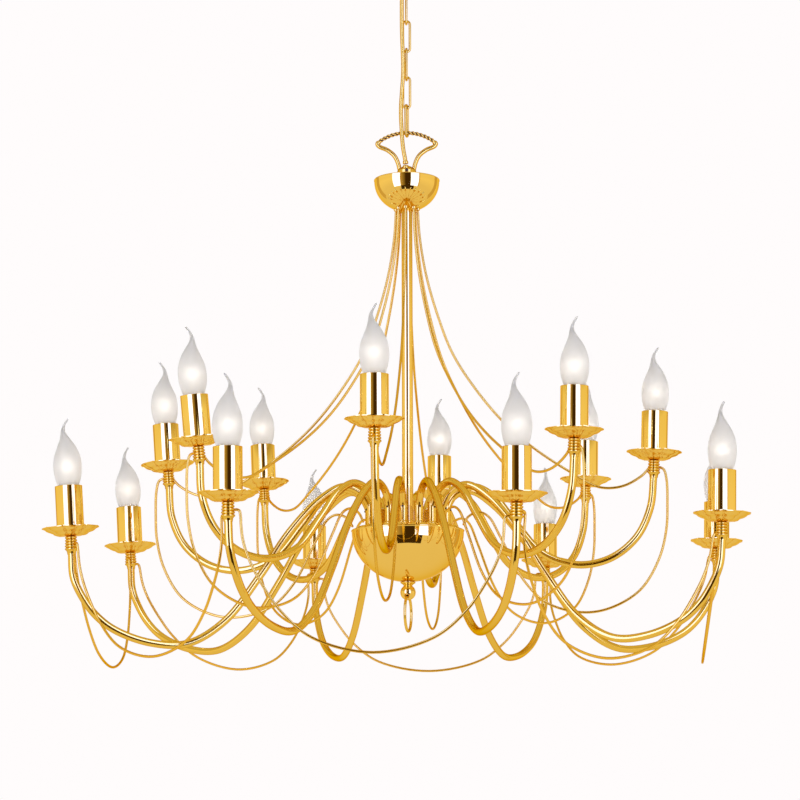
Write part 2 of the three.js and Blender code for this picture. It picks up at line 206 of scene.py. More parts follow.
def round_ended(line, radius, sides=12):
    """A bar whose two ends are domes."""
    dome = [math.radians(a) for a in (12, 32, 58)]
    start = (line[1] - line[0]).normalized()
    end = (line[-2] - line[-1]).normalized()
    inner = [p for p in line
             if (p - line[0]).length > radius and (p - line[-1]).length > radius]
    first = [line[0] + start * radius * (1 - math.cos(a)) for a in dome]
    last = [line[-1] + end * radius * (1 - math.cos(a)) for a in reversed(dome)]
    small = [radius * math.sin(a) for a in dome]
    return bar(first + inner + last,
               small + [radius] * len(inner) + small[::-1], sides)


def lathe(outline, sides=48):
    """A body turned about Z from (radius, height) points that run upwards outside."""
    ring = outline[0] == outline[-1]
    outline = outline[:-1] if ring else outline
    points, starts = [], []
    for r, z in outline:
        starts.append((len(points), 1 if r == 0 else sides))
        for k in range(starts[-1][1]):
            a = 2 * math.pi * k / sides
            points.append(Vector((r * math.cos(a), r * math.sin(a), z)))
    faces = []
    pairs = list(zip(starts, starts[1:])) + ([(starts[-1], starts[0])] if ring else [])
    for (low, low_count), (high, high_count) in pairs:
        for k in range(sides):
            m = (k + 1) % sides
            face = [low + k % low_count, low + m % low_count,
                    high + m % high_count, high + k % high_count]
            face = tuple(dict.fromkeys(face))
            if len(face) > 2:
                faces.append(face)
    return points, faces


def softened(outline, radius, steps=3):
    """The outline with its corners rounded. A ring's outline stays a ring."""
    ring = outline[0] == outline[-1]
    spots = [Vector((*p, 0)) for p in (outline[:-1] if ring else outline)]
    count = len(spots)
    soft = []
    for i, spot in enumerate(spots):
        if not ring and i in (0, count - 1):
            soft.append(tuple(spot[:2]))
            continue
        before, after = spots[i - 1], spots[(i + 1) % count]
        cut = min(radius, (before - spot).length * 0.45, (after - spot).length * 0.45)
        a = spot + (before - spot).normalized() * cut
        b = spot + (after - spot).normalized() * cut
        for k in range(steps + 1):
            t = k / steps
            at = a * (1 - t) ** 2 + 2 * spot * t * (1 - t) + b * t**2
            soft.append((at.x, at.y))
    return soft + [soft[0]] if ring else soft


def arc(rx, rz, middle, first, last, steps):
    """(radius, height) points of an ellipse's arc, from `first` to `last` degrees."""
    turns = [math.radians(first + (last - first) * i / steps) for i in range(steps + 1)]
    return [(rx * math.cos(a), middle + rz * math.sin(a)) for a in turns]


def moved(shape, matrix):
    """The shape with its points moved by the matrix."""
    return [matrix @ p for p in shape[0]], shape[1]


def merged(*shapes):
    """Several shapes as one."""
    points, faces = [], []
    for more_points, more_faces in shapes:
        base = len(points)
        points += more_points
        faces += [tuple(base + i for i in face) for face in more_faces]
    return points, faces


def shifted(x, y, z):
    return Matrix.Translation((x, y, z))


def turned(degrees, axis):
    return Matrix.Rotation(math.radians(degrees), 4, axis)


def linked(name, data):
    """A new object in the scene."""
    thing = bpy.data.objects.new(name, data)
    SCENE.collection.objects.link(thing)
    return thing


def mesh_of(name, shape, sharp=38):
    """A smooth mesh in metres. Edges that turn by more than `sharp` degrees stay hard."""
    mesh = bpy.data.meshes.new(name)
    points, faces = shape
    mesh.from_pydata([tuple(p * MM) for p in points], [], faces)
    mesh.shade_smooth()
    mesh.set_sharp_from_angle(angle=math.radians(sharp))
    mesh.validate()
    return mesh


def place(name, mesh, material, body, matrix=None, stands_for=None):
    """Adds a piece that rides on a body, with its place in its mesh. `matrix` is in mm."""
    if isinstance(mesh, bpy.types.Mesh):
        mesh = mesh.copy()
        mesh.name = name
    else:
        mesh = mesh_of(name, mesh)
    if matrix is not None:
        at = matrix.copy()
        at.translation *= MM
        mesh.transform(at)
    mesh.materials.append(material)
    thing = linked(name, mesh)
    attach(thing, body)
    if stands_for:
        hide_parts(stands_for)
    return thing


# ---- materials -----------------------------------------------------------------------

NOISE_SPAN = (0.3, 0.7)             # nearly all of the noise lies between these


def blank_material(name):
    material = bpy.data.materials.new(name)
    material.use_nodes = True
    tree = material.node_tree
    shader = tree.nodes["Principled BSDF"]
    return material, tree, shader


def noise_ramp(tree, scale, detail, low, high):
    """Noise in object space, spread between two grey levels."""
    where = tree.nodes.new("ShaderNodeTexCoord")
    texture = tree.nodes.new("ShaderNodeTexNoise")
    texture.inputs["Scale"].default_value = scale
    texture.inputs["Detail"].default_value = detail
    spread = tree.nodes.new("ShaderNodeMapRange")
    spread.inputs["From Min"].default_value = NOISE_SPAN[0]
    spread.inputs["From Max"].default_value = NOISE_SPAN[1]
    spread.inputs["To Min"].default_value = low
    spread.inputs["To Max"].default_value = high
    tree.links.new(where.outputs["Object"], texture.inputs["Vector"])
    tree.links.new(texture.outputs["Fac"], spread.inputs["Value"])
    return spread.outputs["Result"]


def colour_between(tree, factor, first, second, socket):
    """Feeds the socket with a mix of two colours."""
    mix = tree.nodes.new("ShaderNodeMix")
    mix.data_type = "RGBA"
    mix.inputs["A"].default_value = (*first, 1)
    mix.inputs["B"].default_value = (*second, 1)
    tree.links.new(factor, mix.inputs["Factor"])
    tree.links.new(mix.outputs["Result"], socket)


def bump(tree, shader, scale, detail, depth):
    """A noisy surface. `depth` is in metres."""
    node = tree.nodes.new("ShaderNodeBump")
    node.inputs["Distance"].default_value = depth
    node.inputs["Strength"].default_value = 1
    tree.links.new(noise_ramp(tree, scale, detail, 0, 1), node.inputs["Height"])
    tree.links.new(node.outputs["Normal"], shader.inputs["Normal"])


def polished_gold(name, tones, edge, roughness, ripple):
    """Gold plate: slight drift in tone, faint smears in the polish, a shallow ripple."""
    material, tree, shader = blank_material(name)
    shader.inputs["Metallic"].default_value = 1
    shader.inputs["Specular Tint"].default_value = (*edge, 1)
    tone = noise_ramp(tree, 9, 3, 0, 1)
    colour_between(tree, tone, *tones, shader.inputs["Base Color"])
    smear = noise_ramp(tree, 60, 1, roughness * 0.85, roughness * 1.15)
    tree.links.new(smear, shader.inputs["Roughness"])
    bump(tree, shader, 70, 2, ripple)
    return material


def plain_coated(name, first, second, roughness, scale, depth):
    """A non-metal with a mottled tone and a fine surface."""
    material, tree, shader = blank_material(name)
    tone = noise_ramp(tree, scale, 4, 0, 1)
    colour_between(tree, tone, first, second, shader.inputs["Base Color"])
    shader.inputs["Roughness"].default_value = roughness
    bump(tree, shader, scale * 4, 3, depth)
    return material


def frosted_glass(name):
    """Satin-etched glass: milky, itself faintly lit, and it passes the lamp's glow."""
    material, tree, shader = blank_material(name)
    tip = tree.nodes.new("ShaderNodeAttribute")
    tip.attribute_name = "tip"
    colour_between(tree, tip.outputs["Fac"], (0.95, 0.94, 0.93), (0.78, 0.77, 0.765),
                   shader.inputs["Base Color"])
    colour_between(tree, tip.outputs["Fac"], (0.045, 0.038, 0.032), (0.015, 0.013, 0.011),
                   shader.inputs["Emission Color"])
    shader.inputs["Emission Strength"].default_value = 1
    shader.inputs["Transmission Weight"].default_value = 0.5
    shader.inputs["IOR"].default_value = 1.4
    shader.inputs["Specular IOR Level"].default_value = 0.3
    grain = noise_ramp(tree, 900, 2, 0.78, 0.9)
    tree.links.new(grain, shader.inputs["Roughness"])
    material.cycles.emission_sampling = "NONE"
    return material


def glowing(name, colour, strength):
    """The lit core in a bulb."""
    material, tree, shader = blank_material(name)
    shader.inputs["Base Color"].default_value = (*colour, 1)
    shader.inputs["Emission Color"].default_value = (*colour, 1)
    grain = noise_ramp(tree, 300, 2, strength * 0.85, strength * 1.15)
    tree.links.new(grain, shader.inputs["Emission Strength"])
    material.cycles.emission_sampling = "NONE"
    return material


# The two tones that a gold drifts between, on broad, slim and fine pieces.
BROAD = ((0.92, 0.665, 0.175), (0.96, 0.72, 0.215))
SLIM = ((0.88, 0.625, 0.125), (0.93, 0.675, 0.155))
FINE = ((0.86, 0.57, 0.09), (0.93, 0.62, 0.11))
BROAD_EDGE = (0.92, 0.72, 0.3)
FINE_EDGE = (0.5, 0.32, 0.05)
MIRROR_GOLD = polished_gold("mirror_gold", BROAD, BROAD_EDGE, 0.045, 0.000004)
CAST_GOLD = polished_gold("cast_gold", BROAD, BROAD_EDGE, 0.15, 0.00002)
TUBE_GOLD = polished_gold("tube_gold", SLIM, (0.72, 0.47, 0.09), 0.075, 0.000006)
WIRE_GOLD = polished_gold("wire_gold", FINE, (0.74, 0.49, 0.09), 0.14, 0.000001)
HANGER_GOLD = polished_gold("hanger_gold", FINE, FINE_EDGE, 0.24, 0.00001)
SHEATH = polished_gold("gold_sheath", FINE, FINE_EDGE, 0.3, 0.00001)
# Dark bronze for the screws; on the hanger's core it is painted shade that shows in the rope's
# grooves.
DARK_BRONZE_AND_GROOVE_SHADE = plain_coated("dark_bronze_and_groove_shade", (0.05, 0.022, 0.004), (0.09, 0.04, 0.008), 0.35, 200,
                      0.00001)
GLASS = frosted_glass("etched_glass")
GLOW = glowing("glow", (1, 0.95, 0.88), 3.8)
PORCELAIN = plain_coated("porcelain", (0.75, 0.72, 0.65), (0.82, 0.8, 0.74), 0.3, 60, 0.00002)


# ---- camera, cable -------------------------------------------------------------------

def make_camera():
    data = bpy.data.cameras.new("camera")
    data.lens = CAMERA_LENS
    data.sensor_width = CAMERA_SENSOR
    data.shift_x = CAMERA_SHIFT
    camera = linked("camera", data)
    camera.matrix_world = (
        Matrix.Translation(CAMERA_PLACE)
        @ Matrix.Rotation(math.pi / 2 + CAMERA_PITCH, 4, "X")
        @ Matrix.Rotation(-CAMERA_ROLL, 4, "Z"))
    SCENE.camera = camera


def make_cable():
    line = smooth_line(CABLE_ROUTE, 6)
    data = bpy.data.curves.new("supply_cable_sheath", "CURVE")
    data.dimensions = "3D"
    data.bevel_depth = CABLE_R
    data.bevel_resolution = 6
    data.use_fill_caps = True
    spline = data.splines.new("POLY")
    spline.points.add(len(line) - 1)
    for spot, at in zip(spline.points, line):
        spot.co = (*at, 1)
    spline.use_smooth = True
    data.materials.append(SHEATH)
    cable = linked("supply_cable_sheath", data)
    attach(cable, "chain")
    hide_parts("supply_cable")


make_camera()
make_cable()


# ---- ceiling rose and chain ----------------------------------------------------------

def link_line(length, bend=12):
    """The middle line of a link: two half circles joined by straight sides."""
    reach = length / 2 - LINK_HALF
    line = []
    for sign in (1, -1):
        for i in range(bend + 1):
            a = math.pi * i / bend
            line.append(Vector((sign * LINK_HALF * math.cos(a), 0,
                                sign * (reach + LINK_HALF * math.sin(a)))))
    return line


def make_rose():
    """The canopy, an open-mouthed shell with a flat top, and its two beads."""
    inside = ROSE_R - ROSE_WALL
    top = -2
    skirt_in, skirt_z = 2, -10
    waist_in, waist_z = 12, -30
    flare, flare_rise = 6, 2
    canopy = softened([
        (0, top), (inside - skirt_in, top), (inside - skirt_in, skirt_z),
        (inside - waist_in, waist_z),
        (ROSE_MOUTH_R + flare, -ROSE_H + flare_rise + ROSE_WALL),
        (ROSE_MOUTH_R, -ROSE_H + ROSE_WALL), (ROSE_MOUTH_R, -ROSE_H),
        (ROSE_MOUTH_R + flare, -ROSE_H + flare_rise), (ROSE_R - waist_in, waist_z),
        (ROSE_R - skirt_in, skirt_z), (ROSE_R, 0), (0, 0)], 6, 6)
    place("rose_canopy", lathe(canopy, 96), MIRROR_GOLD, "ceiling",
          stands_for="ceiling_rose")
    bead_r = 1.3
    for name, z, r in (("rose_top_bead", -11, ROSE_R - 1.6), ("rose_mouth_bead", -49, 25)):
        ring = [Vector((r * math.cos(a), r * math.sin(a), z))
                for a in (2 * math.pi * k / 96 for k in range(96))]
        place(name, bar(ring, bead_r, 12, closed=True), MIRROR_GOLD, "ceiling")


def make_hook():
    """The eye that holds the top link, its nut, and the cable's terminal block."""
    eye_foot = CHAIN_TOP - LINK_WIRE_R - 0.15
    eye_height = 36
    shank_foot = eye_foot + eye_height - 1
    shank_r, nut_r = 2.6, 6.4
    eye = moved(bar(link_line(eye_height), LINK_WIRE_R, 16, closed=True),
                shifted(0, 0, eye_foot + eye_height / 2) @ turned(90, "Z"))
    shank = lathe(softened([(0, shank_foot), (shank_r, shank_foot), (shank_r, -2), (0, -2)],
                           0.6), 24)
    place("ceiling_hook", merged(eye, shank), CAST_GOLD, "ceiling")
    place("hook_nut", lathe(softened([(0, -9), (nut_r, -9), (nut_r, -3), (0, -3)], 0.6), 6),
          CAST_GOLD, "ceiling")
    block = lathe(softened([(0, -18), (8, -18), (8, -4), (0, -4)], 1), 32)
    place("terminal_block", moved(block, shifted(-6, -12, 0)), PORCELAIN, "ceiling")


def make_chain():
    link = mesh_of("link", bar(link_line(LINK_LENGTH), LINK_WIRE_R, 20, closed=True))
    for number, turn in enumerate(LINK_TURNS, 1):
        at = shifted(0, 0, CHAIN_TOP - LINK_PITCH * (number - 0.5))
        place(f"link_{number}", link, TUBE_GOLD, "chain",
              at @ turned(turn, "Z"), f"chain_link_{number}")


make_rose()
make_hook()
make_chain()


# ---- where the lights stand ----------------------------------------------------------

class Light:
    """Where a light stands, read from its packed saucer, its bulb and the bulb's joint."""

    def __init__(self, tier, number):
        self.tier = tier
        self.number = number
        x, y, z = next(joint["axis"] for joint in frame["joints"]
                       if joint["name"] == f"{tier}_bulb_{number}_out")
        self.heading = math.atan2(y, x)
        self.lean = math.atan2(math.hypot(x, y), z)
        low, high = (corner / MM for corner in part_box(f"{tier}_candle_{number}"))
        middle = (low + high) / 2
        rim_out = SAUCER_DEPTH * math.sin(self.lean)
        self.radius = math.hypot(middle.x, middle.y) - rim_out
        self.base = low.z + SAUCER_FOOT_R * math.sin(self.lean) - SAUCER_GAP
        self.reach = self.radius - EVEN_R[tier]
        self.lift = self.base - EVEN_BASE[tier]
        self.spoke = Matrix.Rotation(self.heading, 4, "Z")
        self.stand = (self.spoke @ shifted(self.radius, 0, self.base)
                      @ Matrix.Rotation(self.lean, 4, "Y"))

    def tip_turn(self):
        """The way that the bulb's tip points, about the light's own axis."""
        node = frame["nodes"][f"{self.tier}_bulb_{self.number}"]
        tip = max((v.co for v in node.data.vertices), key=lambda co: co.z) / MM
        local = self.stand.inverted() @ tip
        return math.atan2(local.y, local.x)

    def bent(self, points):
        """Points [distance out, height] of an arm, bent to reach its light."""
        line = []
        for r, z in points:
            share = (r - FOOT_R) / (EVEN_R[self.tier] - FOOT_R)
            along = min(max(share, 0), 1) ** 2
            line.append((r + self.reach * along, 0, z + self.lift * along))
        return line

    def tube_line(self):
        """The arm's tube, which ends inside its collar along the light's own axis."""
        drop = COLLAR_H + COLLAR_TAPER - TUBE_GRIP
        end = (EVEN_R[self.tier] - drop * math.sin(self.lean), EVEN_BASE[self.tier] - drop)
        return smooth_line(self.bent([*TUBES[self.tier], end]), 8)

    def collar_at(self, below):
        """Where a wire meets the collar, this far below the saucer."""
        return self.spoke @ Vector((self.radius - 1, 0, self.base - below))


# ---- hanger loop, top cup, stem, bowl, finial ----------------------------------------

STRAND_OUT, STRAND_R = 0.54, 0.46   # shares of the rope's radius


def rope(line, radius, strands, pitch, sides=12):
    """Strands twisted round the line, with deep grooves between them."""
    pairs = sections(line)
    gone = [0]
    for p, q in zip(line, line[1:]):
        gone.append(gone[-1] + (q - p).length)
    twisted = []
    for s in range(strands):
        strand = []
        for at, far, (u, v) in zip(line, gone, pairs):
            a = 2 * math.pi * (far / pitch + s / strands)
            strand.append(at + radius * STRAND_OUT * (math.cos(a) * u + math.sin(a) * v))
        twisted.append(round_ended(strand, radius * STRAND_R, sides))
    return merged(*twisted)


def make_hanger_loop():
    """The arched rope-pattern bar and the two curved legs under it."""
    spread = (LOOP_HALF**2 + LOOP_RISE**2) / (2 * LOOP_RISE)
    half = math.asin(LOOP_HALF / spread)
    steps = 80
    arch = []
    for i in range(2 * steps + 1):
        a = half * (i / steps - 1)
        arch.append(Vector((spread * math.sin(a), 0, BAR_Z - spread * (1 - math.cos(a)))))
    place("hanger_rope", rope(arch, LOOP_BAR_R + 0.1, 2, 11), HANGER_GOLD, "chandelier",
          stands_for="hanger_loop")
    # A dark core inside the rope, so that the grooves between the strands look dark: painted
    # shade, not the bar's own colour.
    place("hanger_groove_shade", round_ended(arch[3:-3], LOOP_BAR_R * 0.74, 16), DARK_BRONZE_AND_GROOVE_SHADE, "chandelier")
    leg_top = BAR_Z - LOOP_RISE
    for side, name in ((1, "right"), (-1, "left")):
        leg = smooth_line([
            (side * (LOOP_HALF - 5), 0, leg_top + 2.6),
            (side * (LOOP_HALF - 0.5), 0, leg_top - 0.4),
            (side * (LOOP_HALF - 3), 0, leg_top - 4.2), (side * 26, 0, leg_top - 9),
            (side * 16.5, 0, leg_top - 17), (side * 11.3, 0, leg_top - 28),
            (side * 9.4, 0, BOSS_SHOULDER - 1)], 8)
        place(f"hanger_leg_{name}", round_ended(leg, LOOP_LEG_R, 20), HANGER_GOLD,
              "chandelier")


def make_boss():
    """The boss at the foot of the loop, with its set screw at the front."""
    boss = softened([(0, BOSS_FOOT), (BOSS_R - 1, BOSS_FOOT), (BOSS_R, BOSS_FOOT + 1.2),
                     (BOSS_R, BOSS_SHOULDER - 1), (BOSS_R - 1.4, BOSS_SHOULDER + 0.2),
                     (BOSS_R / 2, BOSS_TOP - 0.6), (0, BOSS_TOP)], 1)
    place("hanger_boss", lathe(boss, 64), HANGER_GOLD, "chandelier")
    screw_r = 2.3
    screw = lathe(softened([(0, 0), (screw_r, 0), (screw_r, 1), (0, 1.5)], 0.3), 24)
    front = shifted(0, 0.5 - BOSS_R, BOSS_SHOULDER - 3) @ turned(90, "X")
    place("boss_screw", moved(screw, front), DARK_BRONZE_AND_GROOVE_SHADE, "chandelier")


def make_cable_fittings():
    """The bush on the cable's end, and the gland below it on the boss."""
    start, way = Vector(CABLE_ROUTE[0]) / MM, Vector(CABLE_ROUTE[1]) - Vector(CABLE_ROUTE[0])
    bore, bush_r, neck_r = 2.8, 3.6, 3.2
    bush = softened([(bore, 0.2), (bush_r, 0.2), (bush_r, 2.8), (neck_r, 4), (bore, 4),
                     (bore, 0.2)], 0.2)
    upright = way.to_track_quat("Z", "Y").to_matrix().to_4x4()
    place("cable_bush", moved(lathe(bush, 32), Matrix.Translation(start) @ upright),
          HANGER_GOLD, "chain")
    gland = softened([(0, BOSS_SHOULDER), (4.3, BOSS_SHOULDER), (3.6, GLAND_TOP),
                      (0, GLAND_TOP)], 0.3)
    place("cable_gland", moved(lathe(gland, 32), shifted(start.x, start.y, 0)), HANGER_GOLD,
          "chandelier")


def covered_bowl(radius, rim, bottom, lip, steps):
    """A round-bottomed shell with a rolled lip, and a hole for the stem."""
    hole = STEM_R + 0.15
    depth = rim - bottom
    foot = -math.degrees(math.acos(hole / radius))
    outer = arc(radius, depth, rim, foot, 0, steps)
    inner = arc(radius - SHELL_WALL, depth - SHELL_WALL, rim, 0, foot, steps)
    inner[-1] = (hole, inner[-1][1])
    roll = [(radius - SHELL_WALL / 2 + lip * math.cos(a), rim + LIP_RISE + LIP_RISE * math.sin(a))
            for a in (math.radians(d) for d in range(-50, 231, 35))]
    return [*outer, *roll, *inner[1:], outer[0]]


def make_cup():
    """The top cup, its domed cover, and an eyelet where each tie wire goes in."""
    cup = covered_bowl(CUP_R, CUP_RIM, CUP_BOTTOM, 1.3, 24)
    place("cup_shell", lathe(cup, 96), MIRROR_GOLD, "chandelier", stands_for="top_cup")
    cover = [*arc(CUP_R - 1, 8.5, CUP_RIM, 0, 78, 10), (STEM_R + STEM_GAP, CUP_COVER),
             (STEM_R + STEM_GAP, CUP_COVER - 1.2), *arc(CUP_R - 2.2, 7.3, CUP_RIM, 78, 0, 10)]
    place("cup_cover", lathe([*cover, cover[0]], 96), MIRROR_GOLD, "chandelier")
    bore = WIRE_R + 0.1
    eyelet = lathe(softened([(bore, -1.4), (2.6, -1.4), (3.1, 0.2), (3.1, 2.2), (bore, 2.2),
                             (bore, -1.4)], 0.5), 24)
    headings = [Light("upper", n + 1).heading for n in range(LIGHTS_PER_TIER)]
    eyelets = [moved(eyelet, Matrix.Rotation(a, 4, "Z") @ shifted(TIE_TOP_R, 0, TIE_TOP))
               for a in headings]
    place("tie_eyelets", merged(*eyelets), TUBE_GOLD, "chandelier")


def make_bowl():
    """The centre bowl and its flat cover."""
    bowl = covered_bowl(BOWL_R, BOWL_RIM, BOWL_BOTTOM, 1.6, 32)
    place("bowl_shell", lathe(bowl, 128), MIRROR_GOLD, "chandelier", stands_for="centre_bowl")
    hole, rim = STEM_R + STEM_GAP, BOWL_R - 2.6
    plate = softened([
        (hole, BOWL_COVER - 1.5), (rim, BOWL_COVER - 4.5), (rim, BOWL_COVER - 3.5),
        (BOWL_R - 6, BOWL_COVER), (hole, BOWL_COVER), (hole, BOWL_COVER - 1.5)], 0.5)
    place("bowl_cover", lathe(plate, 128), MIRROR_GOLD, "chandelier")


def make_stem():
    """The stem from cup to bowl, with a stepped collar where it meets the bowl's cover."""
    stem = softened([(0, STEM_FOOT), (STEM_R, STEM_FOOT), (STEM_R, STEM_TOP), (0, STEM_TOP)], 0.5)
    place("stem_tube", lathe(stem, 64), MIRROR_GOLD, "chandelier", stands_for="stem")
    bore = STEM_R + 0.1
    collar = softened([(bore, 0), (11, 0), (11, 1.6), (9.4, 3), (9.4, 8), (8.4, 9), (bore, 9),
                       (bore, 0)], 0.5)
    place("stem_collar", lathe(collar, 48), TUBE_GOLD, "chandelier",
          shifted(0, 0, BOWL_COVER + 0.2))


def drill_out(solid, shape):
    """Cuts the shape out of a piece."""
    drill = linked("drill", mesh_of("drill", shape))
    cut = solid.modifiers.new("eye", "BOOLEAN")
    cut.object = drill
    cut.solver = "EXACT"
    graph = bpy.context.evaluated_depsgraph_get()
    carved = bpy.data.meshes.new_from_object(solid.evaluated_get(graph))
    solid.modifiers.clear()
    solid.data = carved
    carved.set_sharp_from_angle(angle=math.radians(40))
    bpy.data.objects.remove(drill)


def make_finial():
    """The neck under the bowl, the ball with its cross hole, and the pull ring."""
    neck = softened([
        (0, BALL_Z + 8.3), (5.2, BALL_Z + 8.3), (5.4, STEM_FOOT - 2.4), (6.8, STEM_FOOT - 0.6),
        (9.8, STEM_FOOT + 1.2), (9.8, STEM_FOOT + 2.4), (4, STEM_FOOT + 2.2),
        (0, STEM_FOOT + 2.2)], 0.6)
    place("finial_neck", lathe(neck, 64), TUBE_GOLD, "chandelier")
    ball = arc(BALL_R, BALL_R, BALL_Z, -90, 90, 32)
    ball[0], ball[-1] = (0, ball[0][1]), (0, ball[-1][1])
    solid = place("finial_sphere", lathe(ball, 64), MIRROR_GOLD, "chandelier",
                  stands_for="finial_ball")
    ring_turn = Matrix.Rotation(RING_TURN, 4, "Z")
    reach = 15
    drill = lathe([(0, -reach), (EYE_R, -reach), (EYE_R, reach), (0, reach)], 32)
    drill_out(solid, moved(drill, shifted(0, 0, EYE_Z) @ ring_turn @ turned(90, "Y")))
    line = [Vector((RING_R * math.cos(a), 0, RING_R * math.sin(a)))
            for a in (2 * math.pi * k / 72 for k in range(72))]
    place("ring_loop", bar(line, RING_WIRE_R, 20, closed=True), TUBE_GOLD, "pull_ring",
          shifted(0, 0, RING_Z) @ ring_turn, "pull_ring")


make_hanger_loop()
make_boss()
make_cable_fittings()
make_cup()
make_bowl()
make_stem()
make_finial()


# ---- lights --------------------------------------------------------------------------

# Tubes and wires of an evenly placed light: (distance from the stem, height).
ARM_START = [(FOOT_R, FOOT_Z + 0.5), (FOOT_R, -772), (62, -749)]
TUBES = {
    "upper": [
        *ARM_START, (86, -739), (112, -752), (140, -787), (175, -827), (220, -843),
        (263, -836), (298, -810), (317, -772),
    ],
    "lower": [
        *ARM_START, (86, -740), (118, -758), (158, -801), (197, -859), (240, -914),
        (287, -942), (334, -940.5), (379, -923.5), (403, -904), (420, -880), (430, -857),
    ],
}
COLLAR_LINE = EVEN_R["upper"]
TIE_WIRE = [
    (COLLAR_LINE - 5, -719), (306, -731), (280, -743.5), (250, -743.5), (213, -723),
    (165, -690), (125, -654), (90, -611), (60, -563), (40, -510), (25, -455), (17, -405),
    (TIE_TOP_R, TIE_TOP),
]
SCROLL_WIRE = [
    (COLLAR_LINE + 5, -719.5), (335, -723), (338.5, -736), (339, -768), (337, -800),
    (327, -838), (302, -877), (262, -899.5), (225, -904), (180, -891), (150, -861),
    (121, -806), (106, -779), (94, -772.5), (80, -777), (72, BOWL_COVER + WIRE_R + 0.3),
]


def swag_line(light, following):
    """The festoon from this lower light's collar to the next one's."""
    first = light.collar_at(SWAG_START)
    last = following.collar_at(SWAG_END)
    chord = Vector((last.x - first.x, last.y - first.y, 0))
    length = chord.length
    chord.normalize()
    inwards = Vector((-chord.y, chord.x, 0))
    lowest = SWAG_LOWS[light.number - 1]
    hang = SWAG_INWARDS[light.number - 1]

    def at(end, sense, away, share):
        spot = end + chord * sense * away + inwards * hang * share
        spot.z = end.z + share * (lowest - end.z)
        return spot

    return smooth_line([
        at(first, 1, 4, 0),
        *(at(first, 1, away, share) for away, share in SWAG_SHAPE),
        at(first, 1, length / 2, 1),
        *(at(last, -1, away, share) for away, share in reversed(SWAG_SHAPE)),
        at(last, -1, 4, 0)], 8)


def collar_shape():
    """Five rings over a tapered foot that grips the tube."""
    rings = 5
    bulge = 1.5
    rise = COLLAR_H / rings
    outline = [(0, -COLLAR_H - COLLAR_TAPER), (TUBE_R + 0.5, -COLLAR_H - COLLAR_TAPER),
               (TUBE_R + 0.9, -COLLAR_H - 1.6)]
    for k in range(rings):
        middle = -COLLAR_H + rise * (k + 0.5)
        crest = COLLAR_R + 0.2 - 0.22 * k
        outline.append((crest - bulge, middle - rise * 0.5))
        outline += [(crest - bulge + bulge * math.cos(a), middle + rise * 0.4 * math.sin(a))
                    for a in (math.radians(d) for d in range(-75, 76, 25))]
    outline += [(COLLAR_R - 2.4, 0.2), (0, 0.2)]
    return lathe(outline, 48)


def saucer_shape():
    """A dish pressed into petals in two tiers, with a step between them."""
    stations = [(3, 0.3), (9, 0.3), (13, 0.7), (17, 1.2), (20, 2.2), (22, 4), (23.5, 4.9),
                (27, 5.9), (30, 7.4), (31.5, 8.8), (33, 9.6), (SAUCER_R, SAUCER_DEPTH)]
    around = 16 * PETALS
    flat_r = 12                     # the petals begin outside this
    notch = 0.045                   # how deep the rim dips between petals, as a share
    press, curl, level = 1.2, 0.9, 0.62
    points = []
    for above in (0, 1):
        run = stations if not above else stations[::-1]
        for r, w in run:
            reach = min(max((r - flat_r) / (SAUCER_R - flat_r), 0), 1)
            for k in range(around):
                a = 2 * math.pi * k / around
                lobe = math.sqrt(abs(math.cos(a * PETALS / 2)))
                out = r * (1 - notch * math.sqrt(reach) * (1 - lobe))
                wave = press * math.sin(math.pi * reach) + curl * reach
                z = w + wave * (level - lobe) + SAUCER_WALL * above
                points.append(Vector((out * math.cos(a), out * math.sin(a), z)))
    rings = 2 * len(stations)
    faces = []
    for i in range(rings - 1):
        for k in range(around):
            m = (k + 1) % around
            faces.append((i * around + k, i * around + m,
                          (i + 1) * around + m, (i + 1) * around + k))
    faces.append(tuple(reversed(range(around))))
    faces.append(tuple(range((rings - 1) * around, rings * around)))
    return points, faces


def sleeve_shape():
    """The open tube that looks like a candle."""
    inside = SLEEVE_R - SLEEVE_WALL
    return lathe(softened([
        (inside, SLEEVE_FOOT), (SLEEVE_R, SLEEVE_FOOT), (SLEEVE_R, SLEEVE_TOP),
        (inside, SLEEVE_TOP), (inside, SLEEVE_FOOT)], 0.4), 72)


def holder_shape():
    """The lampholder in the sleeve, with a socket for the bulb's cap."""
    return lathe(softened([
        (0, SLEEVE_FOOT), (HOLDER_R + 3, SLEEVE_FOOT), (HOLDER_R + 3, 9), (HOLDER_R, 11),
        (HOLDER_R, HOLDER_TOP), (SOCKET_R, HOLDER_TOP), (SOCKET_R, 30), (0, 30)], 0.6), 40)


def bulb_line():
    """The glass's outline, smooth: (radius, height, how far off the axis)."""
    neck = [(CAP_R - 0.4, HOLDER_TOP + 1, 0), (CAP_R + 1.4, HOLDER_TOP + 3.2, 0)]
    body = [(r, SLEEVE_TOP + h, off) for h, r, off in BULB_OUTLINE]
    return smooth_line(neck + body, 5)


def swayed(points, line):
    """Moves each point sideways as far as the bulb's middle goes at its height."""
    bent = []
    for p in points:
        off = line[-1].z
        for low, high in zip(line, line[1:]):
            if p.z < high.y:
                share = max((p.z - low.y) / (high.y - low.y), 0)
                off = low.z + share * (high.z - low.z)
                break
        bent.append(p + Vector((off, 0, 0)))
    return bent


def glass_shape():
    """The bulb's thin glass, with a bent tip drawn out to a point."""
    line = bulb_line()
    outer = [(p.x, p.y) for p in line]
    inner = [(r - GLASS_WALL, z) for r, z in outer if r > SOLID_GLASS_R]
    outline = [inner[0], *outer, (0, outer[-1][1] + 0.8)]
    cavity = [(0, inner[-1][1] + 0.6), *inner[::-1]]
    points, faces = lathe([*outline, *cavity], 40)
    return swayed(points, line), faces


